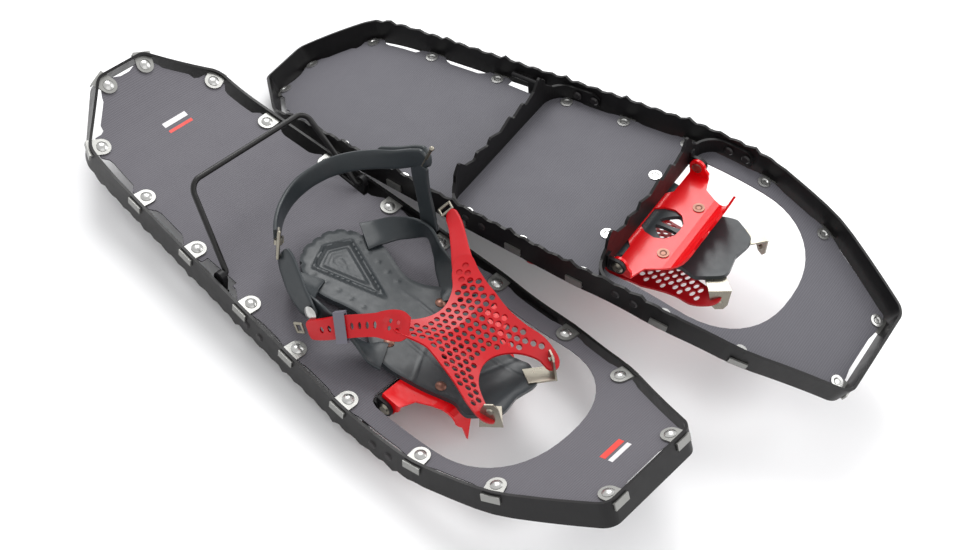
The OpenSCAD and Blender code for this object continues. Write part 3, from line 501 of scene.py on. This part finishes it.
# where the first column of holes stands, how near two columns are for that pitch, and the rim kept round a hole
NET_START = 56
ROW_SHARE = 0.87
NET_RIM = 4.0
net_outline = closed_spline([
    (58, -30), (66, -24), (74, -8), (75, 8), (68, 24), (57, 35), (52, 46), (60, 53), (74, 48), (92, 43), (112, 41),
    (132, 43), (150, 47), (166, 46), (173, 40), (168, 34), (157, 33), (143, 24), (134, 12), (131, 0), (134, -12),
    (143, -24), (157, -31), (168, -33), (173, -39), (166, -46), (150, -47), (132, -42), (112, -39), (94, -38),
    (80, -40), (68, -43), (60, -40)], 190)
columns, rows_of = np.meshgrid(np.arange(-2, 20), np.arange(-9, 10))
net_grid = np.stack([NET_START + columns.ravel() * NET_PITCH,
                     (rows_of.ravel() + 0.5 * (columns.ravel() % 2)) * NET_PITCH], 1)
net_grid[:, 0] = NET_START + (net_grid[:, 0] - NET_START) * ROW_SHARE
net_grid = net_grid[crossings(net_grid, [net_outline])]
net_grid = net_grid[edge_distance(net_grid, net_outline) > NET_RIM]
net_grid = net_grid[(net_grid[:, 0] < 158) & (net_grid[:, 0] > 61)]
net_holes = [ngon(c, 2.35 + 0.25 * min(1, abs(c[1]) / 30), 12) for c in net_grid]
net_flat, net_triangles = cut_sheet(net_outline, net_holes, 5.5)
print("net:", len(net_holes), "holes,", len(net_triangles), "triangles")

NET_LINE = {"a": [(45, 43), (68, 44), (97, 46), (124, 38), (150, 31), (176, 25)],
            "b": [(45, 43), (68, 43), (97, 42), (124, 31), (150, 21), (176, 13)]}


def net_height(flat, shoe):
    """Height over the foot: a curve along it, plus a rise with the square of the side distance."""
    line = np.array(NET_LINE[shoe])
    centre = np.interp(flat[:, 0], line[:, 0], line[:, 1])
    strap_end = (flat[:, 1] < 0) / (1 + np.exp((flat[:, 0] - 86) / 5))
    return centre + 0.0055 * (1 - 0.5 * strap_end) * flat[:, 1] ** 2 - 2.5 * np.exp(-(((flat[:, 0] - 165) / 12) ** 2))


# %% [markdown]
# ## Straps at the front
# Two straps run back from the net to the side hooks. The near one is flat, with a
# six-sided window at the net and a row of slots for the pin, and its loose end
# is rounded. The far one is narrow, with a channel between two raised edges.

# %% A strap as a lifted sheet
def ribbon(rows, count=200):
    """Returns a strap's length and a formula that lifts flat (along, across) points by a height off its middle."""
    dense = spline(rows, count)
    middle, width = dense[:, :3], dense[:, 3:]
    across, out = frames_along(middle, width)
    run = np.r_[0, np.cumsum(np.linalg.norm(np.diff(middle, axis=0), axis=1))]

    def lift(flat, height):
        pick = [np.stack([np.interp(flat[:, 0], run, a[:, i]) for i in range(3)], 1) for a in (middle, across, out)]
        return pick[0] + pick[1] * flat[:, 1:2] + unit(pick[2]) * np.reshape(height, (-1, 1))

    return run[-1], lift


NEAR_ROWS = [[76, -33, 54, 5, -6, -5], [60, -43, 50, 5, -6, -6], [45, -53, 43.5, 4, -6, -7],
             [30, -63.5, 35.5, 3, -5, -8], [17, -73.5, 28, 1, -2, -8], [7, -78, 23, 0, -1, -8]]
FAR_ROWS = [[72, 38, 50, 8, 6, 2], [60, 45, 53, 8, 7, 3], [46, 55, 57, 6, 7, 3], [32, 65.5, 60, 4, 6, 4],
            [21, 72.5, 59, 3, 4, 6], [15, 75, 57, 2, 3, 7]]
STRAP_T = 2.6
near_length, near_lift = ribbon(NEAR_ROWS)
s_end = near_length - 1
near_outline = np.vstack([
    spline([(2, -8), (8, -12), (16, -12.5), (24, -11), (30, -9.6), (45, -9.2),
            (s_end - 8, -9.4), (s_end - 2, -8.4), (s_end, -5)], 40),
    spline([(s_end, 5), (s_end - 2, 8.4), (s_end - 8, 9.4), (45, 9.2),
            (30, 9.6), (24, 11), (16, 12.5), (8, 12), (2, 8)], 40)])
window_centre = (15.0, 0.0)
slots = [ngon((x, 0), 1.0, 14, (1.5, 3.0)) for x in np.arange(30, near_length - 12, 6.4)]
window_holes = [ngon((window_centre[0] + x, y), 1.0, 10, (1.5, 1.9))
                for x, y in ((-3.6, -2.6), (-3.2, 3.4), (2.4, -3.4), (3.4, 2.4))]
near_flat, near_triangles = cut_sheet(near_outline, slots + window_holes, 3.2)


def near_relief(flat):
    """The strap is thin inside the six-sided window and has a raised rim round it and along both sides."""
    q = np.abs(np.stack([flat[:, 0] - window_centre[0], flat[:, 1]], 1))
    six = np.maximum(q[:, 0] * 0.866 + q[:, 1] * 0.5, q[:, 1])
    rim = np.exp(-(((six - 8.6) / 1.1) ** 2)) * 1.3
    thin = -0.9 / (1 + np.exp((six - 7.4) / 0.35))
    along_edges = 0.5 * np.exp(-(((np.abs(flat[:, 1]) - 8.2) / 1.0) ** 2)) * (flat[:, 0] > 26)
    return rim + thin + along_edges


print("near strap is", round(float(near_length), 1), "mm long with", len(slots), "slots")

# %% Net and straps on both shoes
for shoe in "ab":
    up = lambda f: np.column_stack([f, net_height(f, shoe) + NET_T / 2])
    down = lambda f: np.column_stack([f, net_height(f, shoe) - NET_T / 2])
    net_part = thicken(net_flat, net_triangles, up, down)
    near_part = thicken(near_flat, near_triangles, lambda f: near_lift(f, STRAP_T / 2 + near_relief(f)),
                        lambda f: near_lift(f, np.full(len(f), -STRAP_T / 2)))
    channel = soft_bar(6, 32)
    channel[:, 1] += 0.55 * (channel[:, 1] > 0) * (np.abs(np.abs(channel[:, 0]) - 0.72) < 0.3)
    far_part = band(FAR_ROWS, [11, 9.5, 7.5, 6.5, 6.2, 6.5], 3.0, channel, 70, (0, 5))
    piece("net", shoe, *net_part, finishes["net_red"], "binding", ["forefoot_net"], 50)
    piece("slotted_strap", shoe, *near_part, finishes["net_red"], "binding", ["near_strap"], 50)
    piece("channelled_strap", shoe, *far_part, finishes["net_red"], "binding", ["far_strap"])

# %% [markdown]
# ## The heel strap
# A thick grey strap passes behind the heel, from a pin at the top of the far arm
# down to the buckle on the near arm. It has a raised spine, and its far end is
# doubled over the pin. A second, shorter band makes the doubled end.

# %% Heel strap
HEEL_ROWS = [[-15, 73, 101, 1, 0, 8], [-28, 71.5, 92, 0, 0, 8], [-43, 68, 80, -1, 1, 8],
             [-62, 62, 68.5, -2, 2, 8], [-78, 53, 58.5, -3, 2, 8], [-90.5, 40, 49.5, -3.5, 1, 8],
             [-96.5, 21, 43, -3.5, 0, 8], [-95.5, 2, 39, -3, 0, 8], [-88, -17, 37.5, -2, -1, 8],
             [-77, -32, 39.5, -2, -1, 8], [-66, -43.3, 43.2, -2, -1, 8]]
for shoe in "ab":
    rows = np.array(HEEL_ROWS)
    rows[:, :3] = press(rows[:, :3], shoe)
    squeeze = 8.6 * (1 if shoe == "a" else 0.62)
    main = band(rows, squeeze, 4.2, soft_bar(4.5, 36, 0.45), 120, (6, 0))
    end = rows[:4].copy()
    end[:, 1] += 4.2
    end[0, 1] -= 1.9
    doubled = band(end, squeeze * 1.12, 4.4, soft_bar(4.5, 28), 40, (5, 7))
    piece("heel_strap_band", shoe, *join(main, doubled), finishes["binding_grey"], "binding", ["heel_strap"])

# %% [markdown]
# ## Arms and side bands
# On each side, a broad band leaves the heel plate, rises to a large rivet and runs
# on down to the forefoot. From the rivet an arm stands up to meet the heel strap:
# tall on the far side, and leaning back to the buckle on the near side.

# %% Arms and side bands
def sided(rows, side):
    rows = np.array(rows, float)
    rows[:, [1, 4]] *= side
    return rows


BAND_ROWS = [[-37, 33, 12.6, 14, -4, 0], [-30, 45, 15.5, 12, -5, -1], [-18, 56, 23, 7, -4, -6],
             [4, 64.4, 33, 0, 1, -8], [23, 60, 25.5, -1, -1, -7], [38, 55, 18.5, -6, -5, -6],
             [52, 51, 14, -11, -6, -2], [63, 45, 12.6, -13, -7, 0]]
BAND_HALF = [14.5, 12.5, 10, 9, 8, 10, 13, 15]
FAR_ARM = [[5, 68, 30, 8, 0, 4], [-3, 69.5, 48, 8, 0, 3.5], [-12, 71, 64, 8, 0, 3.5], [-19, 72, 79, 8, 0, 4],
           [-22, 72.5, 90, 8, 0, 5]]
FAR_HALF, NEAR_HALF = [9.5, 9, 8.5, 9.5, 9.5], [7, 9.5, 11, 10.5, 9.5]
NEAR_ARM = [[7, -69.4, 28, 5, 0, 5], [-6, -68.5, 34, 2, 2, 8], [-24, -62.5, 37, 0, 4, 8.5],
            [-42, -54.5, 41, 0, 4, 8.5], [-52, -50.5, 43, -1, 2, 8]]
for shoe in "ab":
    for side, label in ((1, "far"), (-1, "near")):
        part = band(sided(BAND_ROWS, side), BAND_HALF, 3.4, soft_bar(5, 32), 70)
        arm = np.array(FAR_ARM if side > 0 else NEAR_ARM, float)
        arm[:, :3] = press(arm[:, :3], shoe)
        arm_half = FAR_HALF if side > 0 else NEAR_HALF
        arm_part = band(arm, arm_half, 3.6, soft_bar(5, 30, 0.25), 50, (4, 3))
        both = join(part, arm_part)
        node = ["side_bands", "side_uprights"] if side > 0 else []
        piece(f"{label}_arm", shoe, *both, finishes["binding_grey"], "binding", node)

# %% [markdown]
# ## The footbed
# The boot stands on a grey plate. Its heel has a notched rim and a pattern of
# nested rounded triangles, and its forefoot has wings to both sides, a waist at
# the crampon and two horns that carry the toe brackets. The plate is cut flat and
# its upper side is lifted by a relief that is a sum of ridges and grooves.

# %% Footbed
BED_Z, BED_T, CURL_X = 7.0, 4.0, 134.0
CURLS = {"a": 20.0, "b": 0.0}
half_bed = spline([(-63, 0), (-62, 13), (-57, 23), (-48, 30.5), (-36, 36), (-22, 38.5), (-8, 36), (4, 32),
                   (18, 29.5), (32, 34), (44, 43), (58, 49), (74, 50), (90, 47), (106, 43), (120, 38),
                   (131, 34.5), (140, 36.5), (147, 37.5), (153, 34.5), (161, 29.5),
                   (167, 24.5), (168.5, 17), (167, 8), (165.5, 0)], 120)
bed_outline = np.vstack([half_bed, half_bed[-2:0:-1] * [1, -1]])
angle_round = np.arctan2(bed_outline[:, 1], bed_outline[:, 0] + 30)
notch = (np.abs(angle_round) > 1.45) * 1.8 * np.clip(np.cos(angle_round * 17) * 4 - 2.6, 0, 1)
bed_outline = bed_outline - notch[:, None] * np.stack([np.cos(angle_round), np.sin(angle_round)], 1)
bed_hole_loops = [ngon((x, side * 31), 2.2, 14) for x in (55, 113) for side in (1, -1)]
bed_hole_loops += [closed_spline([(90, side * 3), (101, side * 15), (107, side * 13), (111, side * 3)], 18)
                   for side in (1, -1)]
bed_flat, bed_triangles = cut_sheet(bed_outline, bed_hole_loops, 1.9)


def ridge(distance, width, height):
    """A smooth ridge, highest where distance is nought."""
    return height * np.exp(-((distance / width) ** 2))


def bed_relief(flat):
    """Raised rim round the heel, nested rounded triangles, rows of studs and ribs on the forefoot."""
    x, y = flat[:, 0], flat[:, 1]
    # a rounded triangle that points to the toe: how far out its edge lies, with 1 on the edge
    u = (x + 30) / 34
    triangle = np.maximum(np.abs(y) / 20 + 0.62 * u + 0.10, -u * 1.55 + 0.02 * np.abs(y))
    heel = 1 / (1 + np.exp((x - 24) / 3))
    relief = ridge(triangle - 0.98, 0.07, 1.9) + ridge(triangle - 0.62, 0.07, 1.2)
    relief -= 1.1 / (1 + np.exp((triangle - 0.93) / 0.04))
    relief += 0.9 / (1 + np.exp((triangle - 0.55) / 0.04)) + ridge(triangle - 0.28, 0.04, -0.6)
    studs = ridge(np.hypot((x + 4) % 13 - 6.5, np.abs(y) - 27 + 0.12 * (x + 40)), 1.5, 0.8) * (x < 20) * (x > -50)
    rim = ridge(edge_distance(flat, bed_outline), 1.6, 0.8)
    fore = 1 / (1 + np.exp((30 - x) / 3))
    ribs = ridge(np.abs(y) - 18 - 0.05 * (x - 60), 0.9, 0.6)
    ribs += ridge((x - 72) - 0.5 * np.abs(y), 1.0, 0.5) + ridge((x - 126) - 0.3 * np.abs(y), 1.0, 0.5)
    return heel * (relief + studs) + rim + fore * ribs


def bed_curl(x, shoe):
    """Height the curled toe gains: a slope that starts softly ahead of the crampon."""
    past = np.maximum(x - CURL_X, 0)
    return past * np.tan(np.radians(CURLS[shoe])) * np.minimum(1, past / 24)


bed_top = BED_Z + BED_T + bed_relief(bed_flat)
for shoe in "ab":
    curl = bed_curl(bed_flat[:, 0], shoe)
    part = thicken(bed_flat, bed_triangles, lambda f: np.column_stack([f, bed_top + curl]),
                   lambda f: np.column_stack([f, np.full(len(f), BED_Z) + curl]))
    piece("footbed_plate", shoe, *part, finishes["binding_grey"], "binding", ["footbed"], 60)
print("footbed:", len(bed_triangles), "triangles a side")

# %% [markdown]
# ## Marks on the deck
# The deck that lies face up has a small printed mark behind the heel and one at
# the toe. Plain stripes stand in for them: thin strips that follow its rise.

# %% Marks
TOE_END, TOE_LIFT, RISE_FROM, TOE_POWER = 299.0, 68.7, 85.0, 1.83
TAIL_END, TAIL_LIFT, DROP_FROM = -314.0, 24.3, -215.0


def deck_height(x):
    """The deck is flat in the middle and rises by a power of the distance at toe and tail."""
    toe = TOE_LIFT * (np.maximum(x - RISE_FROM, 0) / (TOE_END - RISE_FROM)) ** TOE_POWER
    tail = TAIL_LIFT * (np.maximum(DROP_FROM - x, 0) / (DROP_FROM - TAIL_END)) ** 2
    return toe + tail


white_print = finish("white_print", linear(214, 212, 214), 0.5, grain=1500, bump=0.1, shift=0.03)[0]
red_print = finish("red_print", linear(214, 52, 40), 0.5, grain=1500, bump=0.1, shift=0.04)[0]
MARKS = [("tail_mark_light", -249, 8, 26, 5, white_print), ("tail_mark_red", -241, 8, 26, 3, red_print),
         ("toe_mark_light", 262, 4, 24, 4, white_print), ("toe_mark_red", 255, 4, 24, 5, red_print)]
for name, x, y, long, wide, material in MARKS:
    corners = np.array([(x - wide / 2, y - long / 2), (x + wide / 2, y - long / 2),
                        (x + wide / 2, y + long / 2), (x - wide / 2, y + long / 2)])
    outline = np.vstack([np.linspace(corners[i], corners[(i + 1) % 4], 8, endpoint=False) for i in range(4)])
    flat, triangles = cut_sheet(outline, [], 2.0)
    part = thicken(flat, triangles, lambda f: np.column_stack([f, deck_height(f[:, 0]) + 0.16]),
                   lambda f: np.column_stack([f, deck_height(f[:, 0]) - 0.3]))
    piece(name, "a", *part, material, "frame")
